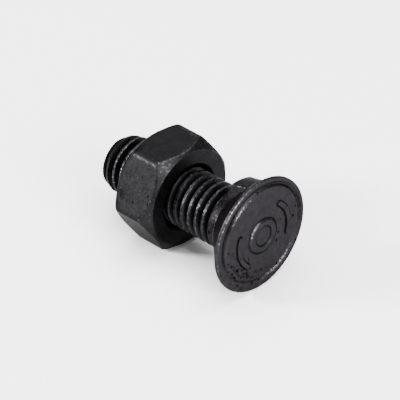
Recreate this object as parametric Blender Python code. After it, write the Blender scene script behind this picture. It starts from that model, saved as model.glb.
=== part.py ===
"""Plow bolt with its hex nut: an M10 x 30 countersunk bolt with one nib, lying on its side.

Metres, +Z up, +X towards the head. Both pieces are modelled along the X axis, with the front of
the head's rim at x = 0 and the thread running towards -X. They are then laid down together on
the edge of the nut's lowest flat and on the rim of the head, with the middle of the floor under
them at the origin.
"""

from math import atan2, ceil, cos, floor, pi, radians, sin, tan

import bmesh
import bpy
from mathutils import Matrix, Vector

# Bolt: thread and shank, with places counted along the axis from the rim's front
THREAD_RADIUS = 0.00493
PITCH = 0.0015
THREAD_DEPTH = 0.00088
CREST_FLAT = 0.00034
ROOT_FLAT = 0.00030
SHANK_END = -0.03015
RUN_OUT = 0.0006
CREST_PLACE = -0.00927
CREST_ANGLE = radians(-86.0)
POINT_RADIUS = 0.00440
POINT_ANGLE = radians(18.0)
NECK_RADIUS = 0.0050
NECK_LENGTH = 0.00105

# Bolt: countersunk head, forged a little off the shank's axis
HEAD_RADIUS = 0.0097
HEAD_OFFSET = 0.00017
HEAD_OFFSET_ANGLE = radians(52.0)
CONE_ANGLE = radians(45.0)
RIM_LAND = 0.00025
RIM_ROUND = 0.00025
GROOVE_INSET = 0.00137
GROOVE_FLAT = 0.00014
GROOVE_SLOPE = 0.00030
GROOVE_DEPTH = 0.00024
FACE_HEIGHT = 0.00020
FACE_ROLL = 0.0008
BOSS_RADIUS = 0.0030
BOSS_OFFSET = 0.00035
BOSS_HEIGHT = 0.00030
BOSS_SLOPE = 0.00035
DIMPLE_RADIUS = 0.0019
DIMPLE_DEPTH = 0.00018
DIMPLE_SLOPE = 0.00022

# Bolt: nib on the cone
NIB_ANGLE = radians(10.0)
NIB_WIDTH = 0.0040
NIB_INSET = 0.0018
NIB_OVERHANG = 0.0003
NIB_ROUND = 0.0009
NIB_RISE = radians(9.0)
NIB_BITE = 0.0009

# Nut
ACROSS_FLATS = 0.0170
NUT_HEIGHT = 0.0080
NUT_FACE = -0.0152
CORNER_ROUND = 0.0011
FRONT_CIRCLE = 0.0081
FRONT_CHAMFER = radians(46.0)
BACK_CIRCLE = 0.00805
BACK_CHAMFER = radians(37.0)
BORE_PLAY = 0.00012
SINK_RADIUS = 0.00577
SINK_ANGLE = radians(45.0)

# Fineness of the facets
ROUND_SEGMENTS = 48
THREAD_SEGMENTS = 48
CORNER_STEPS = 5
ARC_STEPS = 4
SMOOTH_ANGLE = radians(35.0)
SLIVER = 0.00003
OVERRUN = 0.002

# Places that follow from the sizes above
RIM_BACK = -RIM_ROUND - RIM_LAND
CONE_START = RIM_BACK - (HEAD_RADIUS - NECK_RADIUS) / tan(CONE_ANGLE)
THREAD_START = CONE_START - NECK_LENGTH
NIB_END = CONE_START - NIB_OVERHANG
NIB_RADIUS = HEAD_RADIUS - NIB_INSET
GROOVE_RADIUS = HEAD_RADIUS - GROOVE_INSET
SHANK_CENTRE = (0.0, 0.0)
HEAD_CENTRE = (HEAD_OFFSET * sin(HEAD_OFFSET_ANGLE), HEAD_OFFSET * cos(HEAD_OFFSET_ANGLE))
BOSS_CENTRE = (BOSS_OFFSET, 0.0)


def clear_scene():
    for item in list(bpy.context.scene.objects):
        bpy.data.objects.remove(item, do_unlink=True)


def black_steel(name, colour, roughness):
    material = bpy.data.materials.new(name)
    material.use_nodes = True
    shader = material.node_tree.nodes["Principled BSDF"]
    shader.inputs["Base Color"].default_value = (*colour, 1.0)
    shader.inputs["Roughness"].default_value = roughness
    shader.inputs["Metallic"].default_value = 1.0
    return material


def add_object(name, bm, material=None):
    bmesh.ops.recalc_face_normals(bm, faces=bm.faces)
    mesh = bpy.data.meshes.new(name)
    bm.to_mesh(mesh)
    bm.free()
    mesh.shade_smooth()
    mesh.set_sharp_from_angle(angle=SMOOTH_ANGLE)
    if material:
        mesh.materials.append(material)
    item = bpy.data.objects.new(name, mesh)
    bpy.context.collection.objects.link(item)
    return item


def add_tool(name, bm):
    """A shape that only cuts or joins, left out of the model."""
    item = add_object(name, bm)
    item.hide_render = True
    item.display_type = "WIRE"
    return item


def combine(item, operation, tool):
    modifier = item.modifiers.new(tool.name, "BOOLEAN")
    modifier.operation = operation
    modifier.solver = "EXACT"
    modifier.object = tool


def around(x, radius, angle):
    """A point at this distance from the X axis, its angle counted from +Z towards +Y."""
    return Vector((x, radius * sin(angle), radius * cos(angle)))


def ring(bm, x, radius, segments, centre=SHANK_CENTRE):
    """Points round a line along X that runs through this (y, z) centre."""
    aside = Vector((0.0, *centre))
    return [bm.verts.new(around(x, radius, 2 * pi * k / segments) + aside) for k in range(segments)]


def bridge(bm, low, high):
    for k in range(len(low)):
        after = (k + 1) % len(low)
        bm.faces.new((low[k], low[after], high[after], high[k]))


def turned(profile, segments=ROUND_SEGMENTS):
    """A closed solid turned about X from (x, radius) points, with flat ends."""
    bm = bmesh.new()
    rings = [ring(bm, x, radius, segments) for x, radius in profile]
    for low, high in zip(rings, rings[1:]):
        bridge(bm, low, high)
    bm.faces.new(rings[0])
    bm.faces.new(rings[-1])
    return bm


def depth_share(offset):
    """Share of the thread's depth at this distance along the axis from the middle of a crest."""
    offset = abs(offset - PITCH * round(offset / PITCH))
    flank = (PITCH - CREST_FLAT - ROOT_FLAT) / 2
    return min(max((offset - CREST_FLAT / 2) / flank, 0.0), 1.0)


def crest_at(angle):
    """Place of one crest of the right-hand thread at this angle."""
    return CREST_PLACE - PITCH * (angle - CREST_ANGLE) / (2 * pi)


def shank_radius(x, angle):
    thread = THREAD_RADIUS - THREAD_DEPTH * depth_share(x - crest_at(angle))
    share = min(max((THREAD_START - x) / RUN_OUT, 0.0), 1.0)
    blended = NECK_RADIUS + (thread - NECK_RADIUS) * share
    return min(blended, POINT_RADIUS + (x - SHANK_END) * tan(POINT_ANGLE))


def thread_places(angle):
    """Crest and root edges along one line of the shank, running past both of its ends."""
    crest = crest_at(angle)
    flank = (PITCH - CREST_FLAT - ROOT_FLAT) / 2
    edges = [-CREST_FLAT / 2, CREST_FLAT / 2, CREST_FLAT / 2 + flank, PITCH - CREST_FLAT / 2 - flank]
    first = floor((SHANK_END - crest_at(0.0)) / PITCH) - 1
    last = ceil((THREAD_START - crest_at(2 * pi)) / PITCH) + 1
    return [crest + turn * PITCH + edge for turn in range(first, last + 1) for edge in edges]


def thread_column(bm, angle):
    """Points along one line of the thread, each held between the ends of the thread."""
    end = bm.verts.new(around(SHANK_END, shank_radius(SHANK_END, angle), angle))
    start = bm.verts.new(around(THREAD_START, shank_radius(THREAD_START, angle), angle))
    column = []
    for x in thread_places(angle):
        if x < SHANK_END + SLIVER:
            column.append(end)
        elif x > THREAD_START - SLIVER:
            column.append(start)
        else:
            column.append(bm.verts.new(around(x, shank_radius(x, angle), angle)))
    return column


def add_thread(bm):
    """The helical surface of the thread; gives its end ring and its start ring."""
    columns = [thread_column(bm, 2 * pi * k / THREAD_SEGMENTS) for k in range(THREAD_SEGMENTS)]
    edges_per_turn = 4
    for k, column in enumerate(columns):
        after = columns[(k + 1) % THREAD_SEGMENTS]
        shift = edges_per_turn if k == THREAD_SEGMENTS - 1 else 0
        for n in range(len(column) - 1):
            low = max(n - shift, 0)
            high = max(n + 1 - shift, 0)
            corners = [column[n], column[n + 1], after[high], after[low]]
            corners = [v for i, v in enumerate(corners) if v is not corners[i - 1]]
            if len(corners) > 2:
                bm.faces.new(corners)
    return [column[0] for column in columns], [column[-1] for column in columns]


def arc(centre_x, centre_r, radius, start, end):
    """Profile points on an arc, its angle counted from the radial direction towards +X."""
    turns = [start + (end - start) * k / ARC_STEPS for k in range(ARC_STEPS + 1)]
    return [(centre_x + radius * sin(t), centre_r + radius * cos(t)) for t in turns]


def head_profile():
    """The head as (x, radius) points, from the back of the rim in to the flat face."""
    outer_edge = GROOVE_RADIUS + GROOVE_FLAT / 2
    inner_edge = GROOVE_RADIUS - GROOVE_FLAT / 2
    profile = [(RIM_BACK, HEAD_RADIUS)]
    profile += arc(-RIM_ROUND, HEAD_RADIUS - RIM_ROUND, RIM_ROUND, 0.0, pi / 2)
    profile += [(0.0, outer_edge + GROOVE_SLOPE), (-GROOVE_DEPTH, outer_edge)]
    for step in range(ARC_STEPS + 1):
        turn = pi / 2 * step / ARC_STEPS
        rise = (FACE_HEIGHT + GROOVE_DEPTH) * sin(turn)
        profile.append((rise - GROOVE_DEPTH, inner_edge - FACE_ROLL * (1 - cos(turn))))
    return profile


def boss_profile():
    """The boss and its dimple as (x, radius) points, from the flat face inwards."""
    top = FACE_HEIGHT + BOSS_HEIGHT
    profile = [(FACE_HEIGHT, BOSS_RADIUS), (top, BOSS_RADIUS - BOSS_SLOPE), (top, DIMPLE_RADIUS)]
    return profile + [(top - DIMPLE_DEPTH, DIMPLE_RADIUS - DIMPLE_SLOPE)]


def bolt_blank():
    """Threaded shank, neck and turned head as one closed surface."""
    bm = bmesh.new()
    end_ring, start_ring = add_thread(bm)
    bm.faces.new(end_ring)
    last = start_ring
    cone_foot = [(CONE_START, NECK_RADIUS)]
    sections = ((cone_foot, SHANK_CENTRE), (head_profile(), HEAD_CENTRE), (boss_profile(), BOSS_CENTRE))
    for profile, centre in sections:
        for x, radius in profile:
            following = ring(bm, x, radius, THREAD_SEGMENTS, centre)
            bridge(bm, last, following)
            last = following
    bm.faces.new(last)
    return bm


def nib_outline():
    """Side view of the nib as (x, height) points, buried in the cone and the neck."""
    buried = NECK_RADIUS - NIB_BITE
    corner = arc(NIB_END + NIB_ROUND, NIB_RADIUS - NIB_ROUND, NIB_ROUND, -pi / 2, -NIB_RISE)
    top_x, top_height = corner[-1]
    cone_above = NECK_RADIUS + (top_x - CONE_START) * tan(CONE_ANGLE) - top_height
    front = top_x - cone_above / (tan(CONE_ANGLE) - tan(NIB_RISE)) + NIB_BITE
    front_height = top_height + (front - top_x) * tan(NIB_RISE)
    return [(NIB_END, buried)] + corner + [(front, front_height), (front, buried)]


def nib_block():
    """The nib, its outer side rounded about the bolt's axis and its flanks parallel."""
    bm = bmesh.new()
    halves = [NIB_WIDTH * (k / ARC_STEPS - 0.5) for k in range(ARC_STEPS + 1)]
    slices = []
    for half in halves:
        lift = [(height ** 2 - half ** 2) ** 0.5 for _, height in nib_outline()]
        points = [Vector((x, half, z)) for (x, _), z in zip(nib_outline(), lift)]
        slices.append([bm.verts.new(point) for point in points])
    for low, high in zip(slices, slices[1:]):
        bridge(bm, low, high)
    bm.faces.new(slices[0])
    bm.faces.new(slices[-1])
    bm.transform(Matrix.Rotation(-NIB_ANGLE, 4, "X"))
    return bm


def rounded_hexagon():
    """Points (y, z) around the nut's outline, with flats on top and below."""
    apothem = ACROSS_FLATS / 2
    centre = (apothem - CORNER_ROUND) / cos(pi / 6)
    points = []
    for corner in range(6):
        middle = pi / 6 + corner * pi / 3
        for k in range(CORNER_STEPS + 1):
            turn = middle + (k / CORNER_STEPS - 0.5) * pi / 3
            y = centre * sin(middle) + CORNER_ROUND * sin(turn)
            z = centre * cos(middle) + CORNER_ROUND * cos(turn)
            points.append((y, z))
    return points


def hexagon_bar():
    bm = bmesh.new()
    outline = rounded_hexagon()
    sides = [[bm.verts.new((x, y, z)) for y, z in outline] for x in (NUT_FACE - NUT_HEIGHT, NUT_FACE)]
    bridge(bm, sides[0], sides[1])
    bm.faces.new(sides[0])
    bm.faces.new(sides[1])
    return bm


def chamfer_drum():
    """Turned shape whose cones take the corners off both ends of the nut."""
    reach = ACROSS_FLATS / 2 / cos(pi / 6) + OVERRUN
    far_end = NUT_FACE - NUT_HEIGHT
    front = NUT_FACE - (reach - FRONT_CIRCLE) * tan(FRONT_CHAMFER)
    back = far_end + (reach - BACK_CIRCLE) * tan(BACK_CHAMFER)
    return turned([(far_end, BACK_CIRCLE), (back, reach), (front, reach), (NUT_FACE, FRONT_CIRCLE)])


def bore_drill():
    """Turned shape of the nut's bore, clear of the thread's crests, sunk at both ends."""
    bore = THREAD_RADIUS + BORE_PLAY
    sink = (SINK_RADIUS - bore) / tan(SINK_ANGLE)
    wide = SINK_RADIUS + OVERRUN * tan(SINK_ANGLE)
    back = NUT_FACE - NUT_HEIGHT
    profile = [(back - OVERRUN, wide), (back + sink, bore)]
    profile += [(NUT_FACE - sink, bore), (NUT_FACE + OVERRUN, wide)]
    return turned(profile)


def make_bolt(material):
    bolt = add_object("plow_bolt", bolt_blank(), material)
    nib = add_tool("nib_block", nib_block())
    combine(bolt, "UNION", nib)
    return [bolt, nib]


def make_nut(material):
    nut = add_object("hex_nut", hexagon_bar(), material)
    drum = add_tool("nut_chamfers", chamfer_drum())
    drill = add_tool("nut_bore", bore_drill())
    combine(nut, "INTERSECT", drum)
    combine(nut, "DIFFERENCE", drill)
    return [nut, drum, drill]


def lay_down(pieces):
    """Tilts the axis until the nut's far edge and the head's rim both touch the floor."""
    flat_edge = NUT_FACE - NUT_HEIGHT + (ACROSS_FLATS / 2 - BACK_CIRCLE) * tan(BACK_CHAMFER)
    head_below = HEAD_RADIUS - HEAD_CENTRE[1]
    tilt = atan2(head_below - ACROSS_FLATS / 2, RIM_BACK - flat_edge)
    turn = Matrix.Rotation(-tilt, 4, "Y")
    bpy.context.view_layer.update()
    graph = bpy.context.evaluated_depsgraph_get()
    corners = []
    for piece in (pieces[0], pieces[2]):
        corners += [turn @ vertex.co for vertex in piece.evaluated_get(graph).data.vertices]
    lowest = Vector([min(corner[k] for corner in corners) for k in range(3)])
    highest = Vector([max(corner[k] for corner in corners) for k in range(3)])
    middle = (lowest + highest) / 2
    axis = bpy.data.objects.new("bolt_axis", None)
    bpy.context.collection.objects.link(axis)
    for piece in pieces:
        piece.parent = axis
    axis.matrix_world = Matrix.Translation((-middle.x, -middle.y, -lowest.z)) @ turn


def build():
    clear_scene()
    bolt_steel = black_steel("bolt_steel", (0.055, 0.053, 0.056), 0.42)
    nut_steel = black_steel("nut_steel", (0.050, 0.049, 0.052), 0.50)
    bolt_pieces = make_bolt(bolt_steel)
    nut_pieces = make_nut(nut_steel)
    lay_down(bolt_pieces + nut_pieces)


build()
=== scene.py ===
"""Looks of a plow bolt and its hex nut: close meshes, blackened steel, floor, light and camera.

Metres. Both pieces are worked out along the X axis, with the front of the head's rim at x = 0 and
the thread running towards -X, and are then laid down as the frame has them. Angles are counted
round that axis from +Z towards +Y.
"""

from math import cos, pi, radians, sin, tan

import bmesh
import bpy
import numpy as np
from mathutils import Matrix, Vector

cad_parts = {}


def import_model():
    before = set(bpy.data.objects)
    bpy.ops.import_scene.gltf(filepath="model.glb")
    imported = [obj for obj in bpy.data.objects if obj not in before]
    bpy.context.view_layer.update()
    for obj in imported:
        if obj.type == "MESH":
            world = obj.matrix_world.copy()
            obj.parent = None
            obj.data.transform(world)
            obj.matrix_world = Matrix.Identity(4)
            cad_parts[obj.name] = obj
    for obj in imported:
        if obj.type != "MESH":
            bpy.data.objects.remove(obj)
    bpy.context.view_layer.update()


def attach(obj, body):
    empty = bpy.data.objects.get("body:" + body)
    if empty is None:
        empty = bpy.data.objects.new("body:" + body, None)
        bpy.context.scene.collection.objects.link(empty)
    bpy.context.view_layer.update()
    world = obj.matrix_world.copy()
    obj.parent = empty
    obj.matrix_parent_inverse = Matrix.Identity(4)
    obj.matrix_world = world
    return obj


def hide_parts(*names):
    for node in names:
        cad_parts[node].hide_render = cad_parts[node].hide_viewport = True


# Where the axis lies in the frame
AXIS_PLACE = (0.0148482, -0.0000976, 0.0096083)
AXIS_TILT = radians(2.8043665)

# Thread and shank; a high crown makes a full crest
THREAD_RADIUS = 0.00493
PITCH = 0.0015
THREAD_DEPTH = 0.00088
CREST_FLAT = 0.00034
ROOT_FLAT = 0.00030
CREST_CROWN = 1.4
CREST_CROWN_END = 0.85
SHANK_END = -0.03015
THREAD_START = -0.00625
RUN_OUT = 0.0006
CREST_PLACE = -0.00927
CREST_ANGLE = radians(-86.0)
POINT_RADIUS = 0.00434
POINT_ANGLE = radians(18.0)
END_RADIUS = 0.0034
END_HOLLOW = 0.0002
NECK_RADIUS = 0.0050
NECK_ROUND = 0.00015

# Head, forged a little off the shank's axis
HEAD_RADIUS = 0.0097
HEAD_OFFSET = 0.00017
HEAD_OFFSET_ANGLE = radians(52.0)
RIM_LAND = 0.00025
RIM_ROUND = 0.00025
RIM_BACK = -RIM_ROUND - RIM_LAND
RIM_BACK_ROUND = 0.00010
CONE_START = -0.0052
BEAD_WIDTH = 0.0009
BEAD_INSIDE = 0.00885
BEAD_ROUND = 0.00012
GROOVE_RADIUS = 0.00826
GROOVE_FLAT = 0.00014
GROOVE_DEPTH = 0.00024
GROOVE_ASIDE = 0.0002
FACE_EDGE = 0.0078
FACE_HEIGHT = 0.00020
FACE_SHIFT_FROM = 0.0075
FACE_SHIFT_SPAN = 0.0014
BOSS_RADIUS = 0.0030
BOSS_OFFSET = 0.00035
BOSS_HEIGHT = 0.00030
BOSS_SLOPE = 0.00035
BOSS_CREASE = 0.00006
DIMPLE_RADIUS = 0.0019
DIMPLE_DEPTH = 0.00018
DIMPLE_SLOPE = 0.00022

# Uneven stretches of the ring groove and the face's edge: size, and middle and spread in degrees
GROOVE_DRAWN = 0.00026
GROOVE_DRAWN_AT = (145.0, 50.0)
GROOVE_SHALLOW = 0.6
GROOVE_SHALLOW_AT = (228.0, 45.0)
FACE_DRAWN = 0.0005
FACE_DRAWN_AT = (240.0, 34.0)

# Two plain arcs raised on the face round the boss
ARC_RADIUS = 0.00545
ARC_WIDTH = 0.00085
ARC_HEIGHT = 0.00020
ARC_EDGE = 0.00014
ARC_MIDDLES = (radians(77.0), radians(257.0))
ARC_REACH = radians(34.5)
ARC_ASIDE = 0.00018
ARC_ROOM = 0.0008

# Nib on the cone
NIB_ANGLE = radians(10.0)
NIB_WIDTH = 0.0040
NIB_RADIUS = 0.0079
NIB_END = -0.0055
NIB_ROUND = 0.0009
NIB_RISE = radians(9.0)
NIB_EDGE_BLEND = 0.0002
NIB_FOOT_BLEND = 0.0003

# Nut
ACROSS_FLATS = 0.0170
NUT_HEIGHT = 0.0080
NUT_FACE = -0.0152
NUT_BACK = NUT_FACE - NUT_HEIGHT
CORNER_ROUND = 0.00114
FRONT_CIRCLE = 0.0081
FRONT_CHAMFER = radians(46.0)
BACK_CIRCLE = 0.00805
BACK_CHAMFER = radians(37.0)
SINK_RADIUS = 0.00577
SINK_BLEND = 0.0001
THREAD_PLAY = 0.00007
NUT_BORE = 0.0043

# Stretches round the bolt where its marks lie: middle and spread in degrees
# Painted highlights lie on the next three stretches, where the light catches the head's edges
LIT_UPPER = (318.0, 32.0)
LIT_LOWER = (158.0, 25.0)
LIT_FACE_EDGE = (328.0, 22.0)
# Painted shade: stretches where the ring groove is left lighter, and where the bead and the face's edge
# are darkened
UNSHADED_GROOVE_LOWER = (145.0, 45.0)
UNSHADED_GROOVE_UPPER = (8.0, 42.0)
SHADED_BEAD = (88.0, 38.0)
SHADED_FACE_EDGE = (240.0, 28.0)
# Painted shade on the neck, on the side next to the nib
SHADED_NECK = (-18.0, 22.0)
RUSTY_GROOVE = (282.0, 34.0)
PITTED_FACE = (208.0, 48.0)

# The same for the nut
# The corner whose chamfer carries a painted highlight
LIT_CORNER = (-30.0, 25.0)
# Flat darkened with painted shade
SHADED_FLAT = (-122.0, 30.0)
ROUGH_FLAT = (-60.0, 30.0)
FINE_FLAT = (0.0, 28.0)

# Faint rust on the face: place (y, z), spread and strength
RUST_SPOTS = (
    (-0.0027, 0.0026, 0.0008, 0.42),
    (-0.0066, -0.0006, 0.0011, 0.36),
    (-0.0052, 0.0016, 0.0006, 0.45),
    (0.0028, 0.0032, 0.0009, 0.30),
    (0.0012, -0.0066, 0.0012, 0.30),
)

# Smudges on the nut: place along the axis, angle in degrees and spread
SMUDGES = (
    (-0.0215, -72.0, 0.0011),
    (-0.0222, -84.0, 0.0010),
    (-0.0220, -26.0, 0.0011),
)

# What the vertices are marked with; the first mark also carries painted highlights and the third
# painted shade
MARKS = ("wear_and_highlight", "rust", "dirt_and_shade", "coarse", "pits")

# Fineness of the meshes
THREAD_ROWS = 14
ROUND_STEPS = 5
SMOOTH_ANGLE = radians(40.0)
WELD = 0.0000005

# Steel of both pieces
BOLT_LOOK = {
    "dark": (0.0145, 0.0136, 0.0151, 1.0),
    "light": (0.0205, 0.0193, 0.0213, 1.0),
    "worn_and_lit": (0.0420, 0.0405, 0.0430, 1.0),
    "cloud_scale": 800.0,
    "smooth": 0.36,
    "rough": 0.52,
    "pit_scale": 1600.0,
    "fleck_scale": 2200.0,
    "fleck_share": 0.01,
    "speckle": 0.80,
    "speckle_scale": 2700.0,
    "bare_and_glint_from": 0.74,
    "mottle_height": 0.000022,
    "grain_scale": 3600.0,
    "grain_height": 0.000022,
}
NUT_LOOK = {
    "dark": (0.0102, 0.0100, 0.0106, 1.0),
    "light": (0.0142, 0.0139, 0.0150, 1.0),
    "worn_and_lit": (0.0450, 0.0440, 0.0450, 1.0),
    "cloud_scale": 600.0,
    "smooth": 0.40,
    "rough": 0.54,
    "pit_scale": 2200.0,
    "fleck_scale": 2600.0,
    "fleck_share": 0.012,
    "speckle": 0.40,
    "speckle_scale": 2400.0,
    "bare_and_glint_from": 0.87,
    "mottle_height": 0.000010,
    "grain_scale": 4600.0,
    "grain_height": 0.000011,
}
# Brightest steel, for rubbed spots and painted glints
BARE_AND_GLINT = (0.24, 0.235, 0.235, 1.0)
RUST = (0.017, 0.0080, 0.0056, 1.0)
# Near black, for specks, pits, soot and painted shade
NEAR_BLACK = (0.0015, 0.0015, 0.0015, 1.0)
GRAZING_TINT = (0.50, 0.50, 0.50, 1.0)
RUST_SPECULAR = 0.12
MOTTLE_SCALE = 2300.0
CLOUD_HEIGHT = 0.00003
PIT_HEIGHT = 0.00003

# Where each pattern or mark starts to show, and where it is full
CLOUD_RANGE = (0.25, 0.75)
WORN_AND_LIT_RANGE = (0.08, 0.60)
BARE_AND_GLINT_SPAN = 0.25
SPECKLE_RANGE = (0.53, 0.46)
SOOT_AND_SHADE_RANGE = (0.15, 0.75)
RUSTY_RANGE = (0.35, 0.75)
GLOSS_RANGE = (0.75, 1.25)
POLISH_RANGE = (0.15, 0.60)
SPOT_RANGE = (0.92, 1.00)

# How far the mottle breaks up the rubbed and highlighted places and the soot and painted shade
WORN_AND_LIT_PATCHES = 1.4
SOOT_AND_SHADE_PATCHES = 1.2

# Floor
FLOOR_REACH = 1.5
FLOOR_HEIGHT = -0.00001
FLOOR_DARK = (0.90, 0.90, 0.90, 1.0)
FLOOR_LIGHT = (0.93, 0.93, 0.93, 1.0)

# Lights: name, direction from the bolt, distance, size and power
LIGHTS = (
    ("key", (-0.55, -0.69, 0.47), 0.8, (0.17, 0.17), 13.0),
    ("right_fill", (0.80, -0.15, 0.58), 0.8, (0.36, 0.25), 10.0),
    ("back_fill", (-0.60, 0.76, 0.24), 1.0, (0.6, 0.3), 3.0),
    ("front_fill", (0.97, -0.02, 0.20), 1.0, (0.5, 0.4), 4.0),
    ("top", (0.0, 0.1, 1.0), 1.2, (1.3, 1.3), 55.0),
)
WORLD_STRENGTH = 0.55

# Camera
VIEW_AZIMUTH = radians(44.8595)
VIEW_HEIGHT = radians(38.8784)
VIEW_ROLL = radians(-0.8944)
VIEW_AIM = (0.0010879, 0.000777, 0.0085745)
VIEW_DISTANCE = 0.5
LENS = 288.886
SENSOR_WIDTH = 36.0


# Shares, blends and places


def smooth_step(share):
    """A share held between 0 and 1, with a gentle start and end."""
    share = np.clip(share, 0.0, 1.0)
    return share * share * (3 - 2 * share)


def smooth_least(a, b, blend):
    """The lesser of the two, with the corner between them rounded."""
    overlap = np.maximum(blend - abs(a - b), 0.0) / blend
    return np.minimum(a, b) - overlap * overlap * blend / 4


def smooth_most(a, b, blend):
    """The greater of the two, with the corner between them rounded."""
    return -smooth_least(-a, -b, blend)


def turn_from(angle, middle):
    """The turn from one angle to another, at most half a turn either way."""
    return (angle - middle + pi) % (2 * pi) - pi


def facing(angle, middle, spread):
    """1 where the angle is this one in degrees, falling away over a spread in degrees."""
    return np.exp(-(turn_from(angle, radians(middle)) / radians(spread)) ** 2)


def near(x, radius, place, spread):
    """1 at a place of the profile, falling away over this distance."""
    return np.exp(-((x - place[0]) ** 2 + (radius - place[1]) ** 2) / spread ** 2)


def strongest(x, radius, places):
    """The strongest of several marks, each given as place of the profile, spread and strength."""
    strengths = [strength * near(x, radius, place, spread) for place, spread, strength in places]
    return np.maximum.reduce(strengths)


# Surfaces of revolution and their grids


def towards(here, there, cut):
    """The point this far from one row of corners on the way to the next, at most halfway."""
    length = np.linalg.norm(there - here, axis=-1, keepdims=True)
    return here + (there - here) * np.minimum(cut / length, 0.5)


def rounded(corners, columns):
    """Columns of x and of radius along corners given as (x, radius, cut, pieces before)."""
    places = []
    for x, radius, _, _ in corners:
        place = np.empty((columns, 2))
        place[:, 0] = x
        place[:, 1] = radius
        places.append(place)
    rows = [places[0]]
    start = places[0]
    for k in range(1, len(corners)):
        here = places[k]
        cut, pieces = corners[k][2:]
        last = k == len(corners) - 1
        arrive = here if last or not cut else towards(here, places[k - 1], cut)
        leave = here if last or not cut else towards(here, places[k + 1], cut)
        rows += [start + (arrive - start) * step / pieces for step in range(1, pieces + 1)]
        if cut and not last:
            for share in (step / ROUND_STEPS for step in range(1, ROUND_STEPS + 1)):
                first = arrive + (here - arrive) * share
                second = here + (leave - here) * share
                rows.append(first + (second - first) * share)
        start = leave
    path = np.stack(rows, axis=1)
    return path[..., 0], path[..., 1]


def grid_faces(columns, rows, seam_shift=0):
    """Four-cornered faces between the columns; the last column meets the first some rows down."""
    column, row = np.meshgrid(np.arange(columns), np.arange(rows - 1), indexing="ij")
    after = (column + 1) % columns
    shift = np.where(column == columns - 1, seam_shift, 0)
    low = np.maximum(row - shift, 0)
    high = np.maximum(row + 1 - shift, 0)
    corners = [column * rows + row, column * rows + row + 1, after * rows + high, after * rows + low]
    return np.stack(corners, axis=-1).reshape(-1, 4)


def lay_down(points):
    """Points moved from their own axis to where the bolt lies in the frame."""
    turn = np.array(Matrix.Rotation(-AXIS_TILT, 3, "Y"))
    return points @ turn.T + np.array(AXIS_PLACE)


class Skin:
    """Patches of one piece, gathered with their marks."""

    def __init__(self, marks):
        self.marks = marks
        self.points = []
        self.faces = []
        self.painted = []
        self.count = 0

    def add(self, x, radius, angle, centre=(0.0, 0.0), seam_shift=0):
        columns, rows = x.shape
        turn = np.broadcast_to(angle[:, None], x.shape)
        places = [x, radius * np.sin(turn) + centre[0], radius * np.cos(turn) + centre[1]]
        self.points.append(np.stack(places, axis=-1).reshape(-1, 3))
        self.faces.append(grid_faces(columns, rows, seam_shift) + self.count)
        self.painted.append(self.marks(x, radius, turn).reshape(-1, len(MARKS)))
        self.count += x.size

    def piece(self, name, material):
        mesh = bpy.data.meshes.new(name)
        points = lay_down(np.concatenate(self.points))
        mesh.from_pydata(points.tolist(), [], np.concatenate(self.faces).tolist())
        painted = np.concatenate(self.painted)
        for k, mark in enumerate(MARKS):
            layer = mesh.attributes.new(mark, "FLOAT", "POINT")
            layer.data.foreach_set("value", painted[:, k].astype(np.float32))
        bm = bmesh.new()
        bm.from_mesh(mesh)
        bmesh.ops.remove_doubles(bm, verts=bm.verts, dist=WELD)
        bmesh.ops.recalc_face_normals(bm, faces=bm.faces)
        bm.to_mesh(mesh)
        bm.free()
        mesh.shade_smooth()
        mesh.set_sharp_from_angle(angle=SMOOTH_ANGLE)
        mesh.materials.append(material)
        item = bpy.data.objects.new(name, mesh)
        bpy.context.collection.objects.link(item)
        return item


# Thread


def crest_at(angle):
    """Where a crest of the right-hand thread lies along the axis at this angle."""
    return CREST_PLACE - PITCH * (angle - CREST_ANGLE) / (2 * pi)


def thread_radius(x, angle, crown):
    """Radius of the thread, with its crest and root rounded."""
    offset = x - crest_at(angle)
    offset = abs(offset - PITCH * np.round(offset / PITCH))
    flank = (PITCH - CREST_FLAT - ROOT_FLAT) / 2
    share = np.maximum((offset - CREST_FLAT / 2) / flank, 0.0) ** crown
    return THREAD_RADIUS - THREAD_DEPTH * smooth_step(share)


def thread_places(angles, low, high):
    """Places along the axis that follow the thread, held between two ends."""
    step = PITCH / THREAD_ROWS
    first = np.floor((low - crest_at(0.0)) / step) - 1
    last = np.ceil((high - crest_at(2 * pi)) / step) + 1
    rows = np.arange(first, last + 1) * step
    return np.clip(crest_at(angles)[:, None] + rows, low, high)


def shank_radius(x, angle):
    """Radius of the shank, whose thread runs out into the neck and is chamfered at the point."""
    share = np.clip((THREAD_START - x) / RUN_OUT, 0.0, 1.0)
    crown = np.where(x > NUT_FACE - NUT_HEIGHT / 2, CREST_CROWN, CREST_CROWN_END)
    blended = NECK_RADIUS + (thread_radius(x, angle, crown) - NECK_RADIUS) * share
    return np.minimum(blended, POINT_RADIUS + (x - SHANK_END) * tan(POINT_ANGLE))


# Nib


def nib_aside(angle):
    """The turn from the middle of the nib."""
    return abs(turn_from(angle, NIB_ANGLE))


def nib_outside(x):
    """Reach of the nib's outer side, which rises from its rounded end."""
    from_centre = x - NIB_END - NIB_ROUND
    bend = np.sqrt(np.maximum(NIB_ROUND ** 2 - np.minimum(from_centre, 0.0) ** 2, 0.0))
    slope = NIB_ROUND / cos(NIB_RISE) + from_centre * tan(NIB_RISE)
    return NIB_RADIUS - NIB_ROUND + np.where(from_centre < -NIB_ROUND * sin(NIB_RISE), bend, slope)


def nib_radius(x, angle):
    """Reach of the nib, with parallel flanks."""
    aside = angle - NIB_ANGLE
    flank = NIB_WIDTH / 2 / np.maximum(abs(np.sin(aside)), 0.02)
    reach = smooth_least(nib_outside(x), flank, NIB_EDGE_BLEND)
    return np.where(np.cos(aside) > 0, reach, 0.0)


# Arcs on the face


def about_arcs(radius, angle):
    """Place (y, z) on the face, counted from the common centre of the two arcs."""
    return radius * np.sin(angle) - ARC_ASIDE, radius * np.cos(angle)


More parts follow.
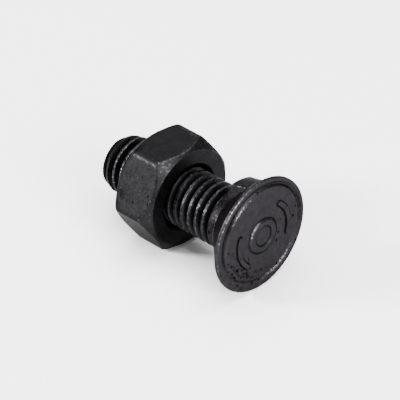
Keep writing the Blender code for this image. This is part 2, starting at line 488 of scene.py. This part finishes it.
def from_arc(radius, angle):
    """Distance on the face from the middle line of the nearer arc."""
    y, z = about_arcs(radius, angle)
    turns = [abs(turn_from(np.arctan2(y, z), middle)) for middle in ARC_MIDDLES]
    beyond = np.maximum(np.minimum(*turns) - ARC_REACH, 0.0) * ARC_RADIUS
    return np.hypot(np.hypot(y, z) - ARC_RADIUS, beyond)


def arc_side(radius, angle):
    """1 along the wall of either arc that lies towards +Y, 0 along the other wall."""
    y, z = about_arcs(radius, angle)
    return smooth_step(0.5 + (np.hypot(y, z) - ARC_RADIUS) * np.sign(y) / ARC_WIDTH)


def raise_arcs(x, radius, angle):
    """The face's height with the two arcs raised on it."""
    share = (ARC_WIDTH / 2 + ARC_EDGE / 2 - from_arc(radius, angle)) / ARC_EDGE
    return x + ARC_HEIGHT * smooth_step(share)


# Head and shank


def head_centre(share):
    """Centre (y, z) of the turned head, moved off the shank's axis by this share."""
    aside = HEAD_OFFSET * np.clip(share, 0.0, 1.0)
    return aside * sin(HEAD_OFFSET_ANGLE), aside * cos(HEAD_OFFSET_ANGLE)


def inside_rim(radius):
    """0 on the rim, growing to 1 across its bead."""
    return smooth_step((HEAD_RADIUS - RIM_ROUND - radius) / BEAD_WIDTH)


def rim_centre(x, radius):
    """Centre of each circle of the cone and the rim, out to the inner edge of the rim's bead."""
    y, z = head_centre((x - CONE_START) / (RIM_BACK - CONE_START))
    aside = GROOVE_ASIDE * np.where(x > -0.00001, inside_rim(radius), 0.0)
    return y + aside, z + aside


def face_centre(radius):
    """Centre of each circle of the face, from the rim's bead to the boss in its middle."""
    y, z = head_centre(1.0)
    aside = GROOVE_ASIDE * inside_rim(radius)
    y, z = y + aside, z + aside
    inwards = smooth_step((FACE_SHIFT_FROM - radius) / FACE_SHIFT_SPAN)
    return y + (BOSS_OFFSET - y) * inwards, z * (1 - inwards)


def bolt_angles():
    """Column angles, closer together along the flanks of the nib."""
    even = np.radians(np.arange(0.0, 360.0, 2.0))
    flank = np.radians(np.arange(12.0, 27.0, 0.6))
    close = np.concatenate([NIB_ANGLE + flank, NIB_ANGLE - flank]) % (2 * pi)
    aside = nib_aside(even)
    even = even[(aside < flank[0] - radians(1.0)) | (aside > flank[-1] + radians(1.0))]
    return np.sort(np.concatenate([even, close]))


def cone_rows(angles):
    """Neck, cone and rim, with the nib rising out of the cone."""
    corners = [
        (THREAD_START, NECK_RADIUS, 0.0, 1),
        (NIB_END, NECK_RADIUS, 0.0, 6),
        (CONE_START, NECK_RADIUS, NECK_ROUND, 4),
        (RIM_BACK, HEAD_RADIUS, RIM_BACK_ROUND, 46),
        (0.0, HEAD_RADIUS, RIM_ROUND, 1),
        (0.0, BEAD_INSIDE, BEAD_ROUND, 4),
    ]
    x, radius = rounded(corners, len(angles))
    wall_row = 6
    wall_steps = 3
    order = np.arange(x.shape[1])
    rows = np.concatenate([order[:wall_row + 1], [wall_row] * wall_steps, order[wall_row + 1:]])
    share = np.clip((np.arange(len(rows)) - wall_row) / wall_steps, 0.0, 1.0)
    x, radius = x[:, rows], radius[:, rows]
    raised = smooth_most(radius, nib_radius(x, angles[:, None]), NIB_FOOT_BLEND)
    raised = np.where(x < RIM_BACK, raised, radius)
    return x, radius + (raised - radius) * share


def face_rows(angles):
    """From the rim's bead through the groove to the flat face, its boss and dimple."""
    top = FACE_HEIGHT + BOSS_HEIGHT
    drawn_in = GROOVE_DRAWN * facing(angles, *GROOVE_DRAWN_AT)
    groove = GROOVE_RADIUS - drawn_in
    shallow = GROOVE_SHALLOW * facing(angles, *GROOVE_SHALLOW_AT)
    floor = -GROOVE_DEPTH * (1 - shallow) - drawn_in * 0.25
    edge = FACE_EDGE - drawn_in - FACE_DRAWN * facing(angles, *FACE_DRAWN_AT)
    corners = [
        (0.0, BEAD_INSIDE, 0.0, 1),
        (floor, groove + GROOVE_FLAT, 0.00018, 6),
        (floor, groove, 0.00008, 1),
        (FACE_HEIGHT * 0.7, groove - 0.00028, 0.00014, 4),
        (FACE_HEIGHT, edge, 0.0003, 5),
        (FACE_HEIGHT, ARC_RADIUS + ARC_ROOM, 0.0, 6),
        (FACE_HEIGHT, ARC_RADIUS - ARC_ROOM, 0.0, 34),
        (FACE_HEIGHT, BOSS_RADIUS + BOSS_CREASE * 2, 0.0001, 6),
        (FACE_HEIGHT - BOSS_CREASE, BOSS_RADIUS, BOSS_CREASE, 2),
        (top, BOSS_RADIUS - BOSS_SLOPE, 0.00018, 4),
        (top, DIMPLE_RADIUS, 0.0001, 5),
        (top - DIMPLE_DEPTH, DIMPLE_RADIUS - DIMPLE_SLOPE, 0.0001, 3),
        (top - DIMPLE_DEPTH * 0.7, 0.0, 0.0, 8),
    ]
    x, radius = rounded(corners, len(angles))
    return raise_arcs(x, radius, angles[:, None]), radius


def point_rows(angles):
    """The flat end of the shank, a little hollow in its middle."""
    edge = shank_radius(np.full(len(angles), SHANK_END), angles)
    corners = [
        (SHANK_END, edge, 0.0, 1),
        (SHANK_END, END_RADIUS, 0.0004, 4),
        (SHANK_END + END_HOLLOW, 0.0, 0.0, 8),
    ]
    return rounded(corners, len(angles))


# Marks of the bolt


def on_crest(radius):
    """1 on the crests of the thread, 0 on its flanks."""
    return smooth_step((radius - THREAD_RADIUS + 0.00018) / 0.00016)


def on_end(x):
    """Whether a point is on the flat end of the shank or at its edge."""
    return x < SHANK_END + 0.0003


def on_neck(x, radius):
    """Whether a point is on the plain neck, with the last of the run-out."""
    along = (x >= THREAD_START - 0.0003) & (x < CONE_START + 0.0001)
    return along & (radius < NECK_RADIUS + 0.0002)


def on_nib(x, radius):
    """Whether a point is on the nib, clear of the cone it rises from."""
    above_cone = radius - NECK_RADIUS - np.maximum(x - CONE_START, 0.0)
    return (x > NIB_END - 0.0001) & (x < RIM_BACK) & (above_cone > 0.0002)


def on_cone(x, radius):
    """Whether a point is on the cone beside the nib."""
    return (x > CONE_START) & (x < RIM_BACK - 0.0003) & ~on_nib(x, radius)


def shank_wear(x, radius):
    """Crests, a little brighter behind the nut, and the flat end."""
    crests = np.where(x < NUT_BACK, 0.288, 0.24) * on_crest(radius)
    wear_and_highlight = np.where(x < THREAD_START, crests, 0.0)
    wear_and_highlight = np.where(on_end(x), 0.20, wear_and_highlight)
    return np.where(on_neck(x, radius), 0.02, wear_and_highlight)


def head_wear_and_highlights(x, radius, angle):
    """Rubbed edges of the head, and painted highlights where the light catches the rim and the boss at
    the upper left, the bead at the lower right and the face's edge.
    """
    upper = facing(angle, *LIT_UPPER)
    lower = facing(angle, *LIT_LOWER)
    cone_foot = ((CONE_START, NECK_RADIUS), 0.00012, 0.60)
    # Each has a little rubbing all round plus a painted highlight on its lit stretch; the face's edge
    # has only the painted highlight
    rim_back = ((RIM_BACK, HEAD_RADIUS), 0.00010, 0.15 + 0.25 * upper)
    rim_front = ((-0.00006, HEAD_RADIUS - 0.00012), 0.00020, 0.12 + 0.45 * upper)
    bead = ((-0.00010, BEAD_INSIDE - 0.00032), 0.00034, 0.05 + 0.45 * lower)
    face_edge_place = (FACE_HEIGHT - 0.0001, FACE_EDGE + 0.0001)
    face_edge = (face_edge_place, 0.00030, 0.45 * facing(angle, *LIT_FACE_EDGE))
    boss_place = (FACE_HEIGHT + 0.00015, BOSS_RADIUS - 0.0002)
    boss = (boss_place, 0.00022, 0.10 + 0.40 * upper)
    return strongest(x, radius, (cone_foot, rim_back, rim_front, bead, face_edge, boss))


def arc_highlight(x, radius, angle):
    """Painted highlight along the upper edge of each arc's wall towards +Y, the side the light catches.
    """
    from_edge = from_arc(radius, angle) - ARC_WIDTH / 2 + 0.00012
    edge = np.exp(-(from_edge / 0.00010) ** 2) * arc_side(radius, angle)
    return np.where(x > FACE_HEIGHT * 1.5, 0.20 * edge, 0.0)


def nib_wear(x, radius, angle):
    """The edges between the nib's flanks and its outer side."""
    from_flank = nib_aside(angle) * radius - NIB_WIDTH / 2
    from_outside = radius - nib_outside(x)
    edge = np.exp(-(from_flank / 0.00018) ** 2 - (from_outside / 0.00016) ** 2)
    return np.where(on_nib(x, radius), 0.6 * edge, 0.0)


def bolt_wear_and_highlights(x, radius, angle):
    """Rubbed edges of the bolt, with painted highlights on the head and the arcs."""
    parts = [
        shank_wear(x, radius),
        head_wear_and_highlights(x, radius, angle),
        arc_highlight(x, radius, angle),
        nib_wear(x, radius, angle),
    ]
    return np.maximum.reduce(parts)


def head_painted_shade(x, radius, angle):
    """Painted shade in the creases of the head: the ring groove, lighter on two stretches, the face's
    edge on one stretch, round the boss and in the dimple, and across the bead on one stretch.
    """
    unshaded = np.maximum(facing(angle, *UNSHADED_GROOVE_LOWER), facing(angle, *UNSHADED_GROOVE_UPPER))
    groove = ((-GROOVE_DEPTH, GROOVE_RADIUS), 0.00018, 0.8 - 0.7 * unshaded)
    bead_place = (-GROOVE_DEPTH * 0.5, GROOVE_RADIUS + 0.0004)
    bead = (bead_place, 0.00052, 0.54 * facing(angle, *SHADED_BEAD))
    face_edge_place = (FACE_HEIGHT, FACE_EDGE - FACE_DRAWN)
    face_edge = (face_edge_place, 0.00017, 0.62 * facing(angle, *SHADED_FACE_EDGE))
    boss = ((FACE_HEIGHT, BOSS_RADIUS + BOSS_CREASE), 0.00012, 1.0)
    dimple = ((FACE_HEIGHT + 0.00014, DIMPLE_RADIUS - DIMPLE_SLOPE), 0.00012, 0.9)
    return strongest(x, radius, (groove, bead, face_edge, boss, dimple))


def arc_shadow(x, radius, angle):
    """Painted shadow: a dark line along the foot of each arc, fainter towards +Y."""
    from_foot = from_arc(radius, angle) - ARC_WIDTH / 2 - ARC_EDGE / 2
    line = np.where(x > 0.0, np.exp(-(from_foot / 0.00014) ** 2), 0.0)
    return line * (1.1 - 0.30 * arc_side(radius, angle))


def bolt_dirt_and_shade(x, radius, angle):
    """Darkening: painted shade and soot in the thread's roots, painted shade in the head's creases and
    along the arcs' feet, soot on the cone, soot with painted shade on the neck, and painted shade on
    the nib's flanks.
    """
    above_root = radius - THREAD_RADIUS + THREAD_DEPTH
    nib_flank = on_nib(x, radius) & (nib_aside(angle) * radius > NIB_WIDTH / 2 - 0.0002)
    # Soot all round the neck, with painted shade on one stretch
    neck = 0.15 + 0.32 * facing(angle, *SHADED_NECK)
    parts = [
        # Painted shade and soot, deepest in the thread's roots
        np.where(x < THREAD_START, 0.9 * smooth_step(1 - above_root / 0.00035), 0.0),
        head_painted_shade(x, radius, angle),
        np.where(on_cone(x, radius), 0.36, 0.0),
        np.where(on_neck(x, radius), neck, 0.0),
        # Painted shade on the nib's flanks
        np.where(nib_flank, 0.14, 0.0),
        arc_shadow(x, radius, angle),
    ]
    return np.maximum.reduce(parts)


def bolt_rust(x, radius, angle):
    """Rust in one stretch of the ring groove, on the cone and in faint spots on the face."""
    groove = near(x, radius, (-GROOVE_DEPTH, GROOVE_RADIUS), 0.00018)
    rust = 0.62 * facing(angle, *RUSTY_GROOVE) * groove
    rust = np.maximum(rust, np.where(on_cone(x, radius), 0.40, 0.0))
    for y, z, spread, strength in RUST_SPOTS:
        away = (radius * np.sin(angle) - y) ** 2 + (radius * np.cos(angle) - z) ** 2
        spot = strength * np.exp(-away / spread ** 2)
        rust = np.maximum(rust, np.where(x > 0.0, spot, 0.0))
    return rust


def bolt_coarse(x, radius):
    """How rough the skin is: fine on the head, coarser on the crests, the neck and the end."""
    coarse = np.where(x > RIM_BACK, 0.15, 0.30 + 0.40 * on_crest(radius))
    return np.where(on_neck(x, radius) | on_end(x), 1.0, coarse)


def bolt_pits(x, radius, angle):
    """Share of pits: many at the lower left of the face, a few elsewhere."""
    pits = facing(angle, *PITTED_FACE) * smooth_step((radius - 0.0040) / 0.0020)
    pits = pits * (1 - 0.6 * smooth_step((radius - GROOVE_RADIUS) / 0.0004))
    least = 0.04 * smooth_step((radius - BOSS_RADIUS - 0.0002) / 0.0002)
    return np.where(x > -0.0003, np.maximum(pits, least), 0.03)


def bolt_marks(x, radius, angle):
    """All marks of the bolt at points of its surface."""
    marks = [
        bolt_wear_and_highlights(x, radius, angle),
        bolt_rust(x, radius, angle),
        bolt_dirt_and_shade(x, radius, angle),
        bolt_coarse(x, radius),
        bolt_pits(x, radius, angle),
    ]
    return np.stack(marks, axis=-1)


def make_bolt():
    angles = bolt_angles()
    skin = Skin(bolt_marks)
    x = thread_places(angles, SHANK_END, THREAD_START)
    skin.add(x, shank_radius(x, angles[:, None]), angles, seam_shift=THREAD_ROWS)
    x, radius = cone_rows(angles)
    skin.add(x, radius, angles, centre=rim_centre(x, radius))
    x, radius = face_rows(angles)
    skin.add(x, radius, angles, centre=face_centre(radius))
    skin.add(*point_rows(angles), angles)
    return skin.piece("bolt_skin", black_steel("blackened_bolt", BOLT_LOOK))


# Nut


def nut_angles():
    """Column angles, closer together round the six corners."""
    apothem = ACROSS_FLATS / 2
    bend = np.arctan((apothem - CORNER_ROUND) * tan(pi / 6) / apothem)
    flat = np.arctan(np.linspace(-tan(bend), tan(bend), 23))
    corner = np.linspace(bend, pi / 3 - bend, 10)[1:-1]
    sides = [np.concatenate([flat, corner]) + side * pi / 3 for side in range(6)]
    return np.concatenate(sides)


def hexagon_radius(angle):
    """Reach of the rounded hexagon, with flats on top and below."""
    apothem = ACROSS_FLATS / 2
    from_flat = (angle + pi / 6) % (pi / 3) - pi / 6
    from_corner = pi / 6 - abs(from_flat)
    centre = (apothem - CORNER_ROUND) / cos(pi / 6)
    bend = np.sqrt(np.maximum(CORNER_ROUND ** 2 - (centre * np.sin(from_corner)) ** 2, 0.0))
    straight = apothem / np.cos(from_flat)
    on_flat = apothem * np.tan(abs(from_flat)) < (apothem - CORNER_ROUND) * tan(pi / 6)
    return np.where(on_flat, straight, centre * np.cos(from_corner) + bend)


def front_edge(reach):
    """Where the front chamfer meets the side of the nut."""
    return NUT_FACE - (reach - FRONT_CIRCLE) * tan(FRONT_CHAMFER)


def back_edge(reach):
    """Where the back chamfer meets the side of the nut."""
    return NUT_BACK + (reach - BACK_CIRCLE) * tan(BACK_CHAMFER)


def on_chamfer(x, radius, angle):
    """Whether a point is on the nut's front chamfer."""
    return (radius > FRONT_CIRCLE) & (x > front_edge(hexagon_radius(angle))) & (x < NUT_FACE)


def nut_wear_and_highlights(x, radius, angle):
    """Rubbed edges and corners of the nut and its front chamfer, with a painted highlight line along
    one side of each corner and a painted highlight on the chamfer at one corner.
    """
    reach = hexagon_radius(angle)
    front = ((front_edge(reach), reach), 0.00016, 0.26)
    back = ((back_edge(reach), reach), 0.00016, 0.18)
    circle = ((NUT_FACE, FRONT_CIRCLE), 0.0002, 0.12)
    from_corner = (angle % (pi / 3) - pi / 6) * radius
    # A painted highlight line along one side of each rounded corner
    corner = 0.44 * np.exp(-((from_corner + 0.0005) / 0.00009) ** 2)
    # A painted highlight on the front chamfer at the corner that faces the light
    wedge = np.exp(-((from_corner - 0.0005) / 0.0010) ** 2) * facing(angle, *LIT_CORNER)
    parts = [
        strongest(x, radius, (front, back, circle)),
        np.where(radius > reach - 0.0001, corner, 0.0),
        np.where(on_chamfer(x, radius, angle), 0.06 + 0.17 * wedge, 0.0),
    ]
    return np.maximum.reduce(parts)


def nut_dirt_and_shade(x, radius, angle):
    """Painted shade in the bore and on the lower flat, and smudges."""
    # Painted shade in the bore
    dirt_and_shade = np.where(radius < SINK_RADIUS - 0.0002, 0.8, 0.0)
    # Painted shade on the lower flat
    dirt_and_shade = np.maximum(dirt_and_shade, 0.46 * facing(angle, *SHADED_FLAT))
    for place, middle, spread in SMUDGES:
        aside = turn_from(angle, radians(middle)) * radius
        smudge = 0.5 * np.exp(-((x - place) ** 2 + aside ** 2) / spread ** 2)
        dirt_and_shade = np.maximum(dirt_and_shade, smudge)
    return dirt_and_shade


def nut_marks(x, radius, angle):
    """All marks of the nut at points of its surface."""
    chamfer = on_chamfer(x, radius, angle)
    rough = facing(angle, *ROUGH_FLAT)
    coarse = 0.35 + 0.45 * rough - 0.30 * facing(angle, *FINE_FLAT)
    marks = [
        nut_wear_and_highlights(x, radius, angle),
        np.zeros_like(x),
        nut_dirt_and_shade(x, radius, angle),
        np.where(chamfer, 0.30, coarse),
        np.where(chamfer, 0.0, 0.2 * rough),
    ]
    return np.stack(marks, axis=-1)


def nut_bore(x, angle):
    """Inner thread, fitted over the bolt's fullest crests and sunk at both ends."""
    thread = np.maximum(thread_radius(x, angle, CREST_CROWN) + THREAD_PLAY, NUT_BORE)
    from_end = np.minimum(NUT_FACE - x, x - NUT_BACK)
    bore = smooth_most(thread, SINK_RADIUS - from_end, SINK_BLEND)
    return np.where((x == NUT_BACK) | (x == NUT_FACE), SINK_RADIUS, bore)


def make_nut():
    angles = nut_angles()
    skin = Skin(nut_marks)
    x = thread_places(angles, NUT_BACK, NUT_FACE)
    skin.add(x, nut_bore(x, angles[:, None]), angles, seam_shift=THREAD_ROWS)
    reach = hexagon_radius(angles)
    corners = [
        (NUT_FACE, SINK_RADIUS, 0.0, 1),
        (NUT_FACE, FRONT_CIRCLE, 0.00008, 8),
        (front_edge(reach), reach, 0.00022, 5),
        (back_edge(reach), reach, 0.00050, 20),
        (NUT_BACK, BACK_CIRCLE, 0.00012, 5),
        (NUT_BACK, SINK_RADIUS, 0.0, 8),
    ]
    skin.add(*rounded(corners, len(angles)), angles)
    return skin.piece("nut_skin", black_steel("blackened_nut", NUT_LOOK))


# Materials


class Nodes:
    """Short names for the nodes of one material."""

    def __init__(self, name):
        self.material = bpy.data.materials.new(name)
        self.material.use_nodes = True
        self.tree = self.material.node_tree
        self.shader = self.tree.nodes["Principled BSDF"]
        self.place = self.add("ShaderNodeTexCoord", {}).outputs["Object"]

    def add(self, kind, inputs, **settings):
        made = self.tree.nodes.new(kind)
        for name, value in settings.items():
            setattr(made, name, value)
        for key, value in inputs.items():
            self.put(value, made.inputs[key])
        return made

    def put(self, value, socket):
        if isinstance(value, bpy.types.NodeSocket):
            self.tree.links.new(value, socket)
        else:
            socket.default_value = value

    def mark(self, name):
        return self.add("ShaderNodeAttribute", {}, attribute_name=name).outputs["Fac"]

    def noise(self, scale, detail, roughness=0.55):
        inputs = {"Vector": self.place, "Scale": scale, "Detail": detail, "Roughness": roughness}
        return self.add("ShaderNodeTexNoise", inputs).outputs["Fac"]

    def spots(self, scale, share, ragged):
        """1 in ragged spots of several sizes, which lie in this share of the cells of the pattern."""
        cells = self.add("ShaderNodeTexVoronoi", {"Vector": self.place, "Scale": scale})
        chance = self.add("ShaderNodeSeparateColor", {"Color": cells.outputs["Color"]})
        chosen = self.math("LESS_THAN", chance.outputs["Red"], share)
        away = self.math("ADD", cells.outputs["Distance"], self.math("MULTIPLY", ragged, 1.1))
        away = self.math("ADD", away, self.math("MULTIPLY", chance.outputs["Green"], 0.22))
        return self.math("MULTIPLY", self.ramp(away, *SPOT_RANGE, 1.0, 0.0), chosen)

    def ramp(self, value, low, high, start=0.0, end=1.0):
        inputs = {"Value": value, "From Min": low, "From Max": high, "To Min": start, "To Max": end}
        return self.add("ShaderNodeMapRange", inputs, interpolation_type="SMOOTHSTEP").outputs["Result"]

    def math(self, operation, a, b):
        return self.add("ShaderNodeMath", {0: a, 1: b}, operation=operation).outputs["Value"]

    def mix(self, share, a, b):
        inputs = {0: share, 6: a, 7: b}
        return self.add("ShaderNodeMix", inputs, data_type="RGBA").outputs[2]

    def bump(self, height, distance, below=None):
        inputs = {"Height": height, "Distance": distance, "Strength": 1.0}
        if below:
            inputs["Normal"] = below
        return self.add("ShaderNodeBump", inputs).outputs["Normal"]


def black_steel(name, look):
    """Blackened steel, lighter along its rubbed edges and where highlights and glints are painted,
    darkened with soot and painted shade in its creases, and rusty in places.
    """
    nodes = Nodes(name)
    cloud = nodes.noise(look["cloud_scale"], 5.0, 0.6)
    mottle = nodes.noise(MOTTLE_SCALE, 4.0, 0.65)
    grain = nodes.noise(look["grain_scale"], 3.0)
    patchy = nodes.math("SUBTRACT", mottle, 0.5)
    coarse = nodes.mark("coarse")
    worn_and_lit = nodes.math("ADD", nodes.mark("wear_and_highlight"), nodes.math("MULTIPLY", patchy, WORN_AND_LIT_PATCHES))
    soot_and_shade = nodes.math("ADD", nodes.mark("dirt_and_shade"), nodes.math("MULTIPLY", patchy, SOOT_AND_SHADE_PATCHES))
    rusty = nodes.ramp(nodes.math("ADD", nodes.mark("rust"), patchy), *RUSTY_RANGE)
    pits = nodes.spots(look["pit_scale"], nodes.mark("pits"), mottle)

    colour = nodes.mix(nodes.ramp(cloud, *CLOUD_RANGE), look["dark"], look["light"])
    flecks = nodes.spots(look["fleck_scale"], look["fleck_share"], grain)
    colour = nodes.mix(nodes.math("MULTIPLY", flecks, 0.5), colour, look["worn_and_lit"])
    # Rubbed places and painted highlights
    colour = nodes.mix(nodes.ramp(worn_and_lit, *WORN_AND_LIT_RANGE), colour, look["worn_and_lit"])
    # Bright spots, partly painted glints
    bare_and_glint = nodes.math("ADD", nodes.math("MULTIPLY", worn_and_lit, 0.6), grain)
    bare_and_glint = nodes.ramp(bare_and_glint, look["bare_and_glint_from"], look["bare_and_glint_from"] + BARE_AND_GLINT_SPAN)
    colour = nodes.mix(bare_and_glint, colour, BARE_AND_GLINT)
    speckle = nodes.ramp(nodes.noise(look["speckle_scale"], 4.0, 0.7), *SPECKLE_RANGE)
    speckle = nodes.math("MULTIPLY", speckle, coarse)
    colour = nodes.mix(nodes.math("MULTIPLY", speckle, look["speckle"]), colour, NEAR_BLACK)
    colour = nodes.mix(pits, colour, NEAR_BLACK)
    # Soot and painted shade
    colour = nodes.mix(nodes.ramp(soot_and_shade, *SOOT_AND_SHADE_RANGE, 0.0, 0.9), colour, NEAR_BLACK)
    colour = nodes.mix(rusty, colour, RUST)
    nodes.put(colour, nodes.shader.inputs["Base Color"])

    gloss = nodes.math("ADD", grain, mottle)
    gloss = nodes.ramp(gloss, *GLOSS_RANGE, look["smooth"], look["rough"])
    gloss = nodes.math("SUBTRACT", gloss, nodes.ramp(worn_and_lit, *POLISH_RANGE, 0.0, 0.14))
    gloss = nodes.math("MAXIMUM", gloss, nodes.math("MULTIPLY", rusty, 0.85))
    nodes.put(gloss, nodes.shader.inputs["Roughness"])
    nodes.put(nodes.ramp(rusty, 0.0, 1.0, 1.0, 0.1), nodes.shader.inputs["Metallic"])
    nodes.put(GRAZING_TINT, nodes.shader.inputs["Specular Tint"])
    nodes.put(RUST_SPECULAR, nodes.shader.inputs["Specular IOR Level"])

    relief = nodes.ramp(coarse, 0.0, 1.0, 0.4, 2.0)
    normal = nodes.bump(cloud, CLOUD_HEIGHT)
    normal = nodes.bump(nodes.math("MULTIPLY", mottle, relief), look["mottle_height"], normal)
    normal = nodes.bump(nodes.math("MULTIPLY", grain, relief), look["grain_height"], normal)
    normal = nodes.bump(nodes.math("SUBTRACT", 1.0, pits), PIT_HEIGHT, normal)
    nodes.put(normal, nodes.shader.inputs["Normal"])
    return nodes.material


def floor_paper():
    """Matt white paper with a faint fibre."""
    nodes = Nodes("floor_paper")
    nodes.put(0.9, nodes.shader.inputs["Roughness"])
    nodes.put(0.1, nodes.shader.inputs["Specular IOR Level"])
    fibre = nodes.ramp(nodes.noise(900.0, 3.0), 0.3, 0.7)
    nodes.put(nodes.mix(fibre, FLOOR_DARK, FLOOR_LIGHT), nodes.shader.inputs["Base Color"])
    return nodes.material


# Floor, light and camera


def make_floor():
    bm = bmesh.new()
    reach = FLOOR_REACH
    corners = ((-reach, -reach), (reach, -reach), (reach, reach), (-reach, reach))
    bm.faces.new([bm.verts.new((x, y, FLOOR_HEIGHT)) for x, y in corners])
    mesh = bpy.data.meshes.new("floor")
    bm.to_mesh(mesh)
    bm.free()
    mesh.materials.append(floor_paper())
    item = bpy.data.objects.new("floor", mesh)
    bpy.context.collection.objects.link(item)


def add_light(name, direction, distance, size, power):
    """A soft four-cornered light that looks at the bolt from this direction."""
    light = bpy.data.lights.new(name, "AREA")
    light.shape = "RECTANGLE"
    light.size, light.size_y = size
    light.energy = power
    item = bpy.data.objects.new(name, light)
    away = Vector(direction).normalized()
    item.location = Vector(VIEW_AIM) + away * distance
    item.rotation_euler = away.to_track_quat("Z", "Y").to_euler()
    bpy.context.collection.objects.link(item)


def make_light():
    world = bpy.data.worlds.new("studio")
    world.use_nodes = True
    background = world.node_tree.nodes["Background"]
    background.inputs["Color"].default_value = (1.0, 1.0, 1.0, 1.0)
    background.inputs["Strength"].default_value = WORLD_STRENGTH
    bpy.context.scene.world = world
    for light in LIGHTS:
        add_light(*light)


def make_camera():
    azimuth, height = VIEW_AZIMUTH, VIEW_HEIGHT
    back = Vector((sin(azimuth) * cos(height), -cos(azimuth) * cos(height), sin(height)))
    right = Vector((cos(azimuth), sin(azimuth), 0.0))
    up = back.cross(right)
    rolled_right = right * cos(VIEW_ROLL) + up * sin(VIEW_ROLL)
    rolled_up = back.cross(rolled_right)
    data = bpy.data.cameras.new("camera")
    data.lens = LENS
    data.sensor_width = SENSOR_WIDTH
    data.clip_start = 0.01
    data.clip_end = 10.0
    camera = bpy.data.objects.new("camera", data)
    turn = Matrix((rolled_right, rolled_up, back)).transposed()
    camera.matrix_world = Matrix.Translation(Vector(VIEW_AIM) + back * VIEW_DISTANCE) @ turn.to_4x4()
    bpy.context.collection.objects.link(camera)
    bpy.context.scene.camera = camera


def build():
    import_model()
    bolt = make_bolt()
    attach(bolt, "bolt")
    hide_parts("plow_bolt")
    nut = make_nut()
    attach(nut, "nut")
    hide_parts("hex_nut")
    make_floor()
    make_light()
    make_camera()


build()
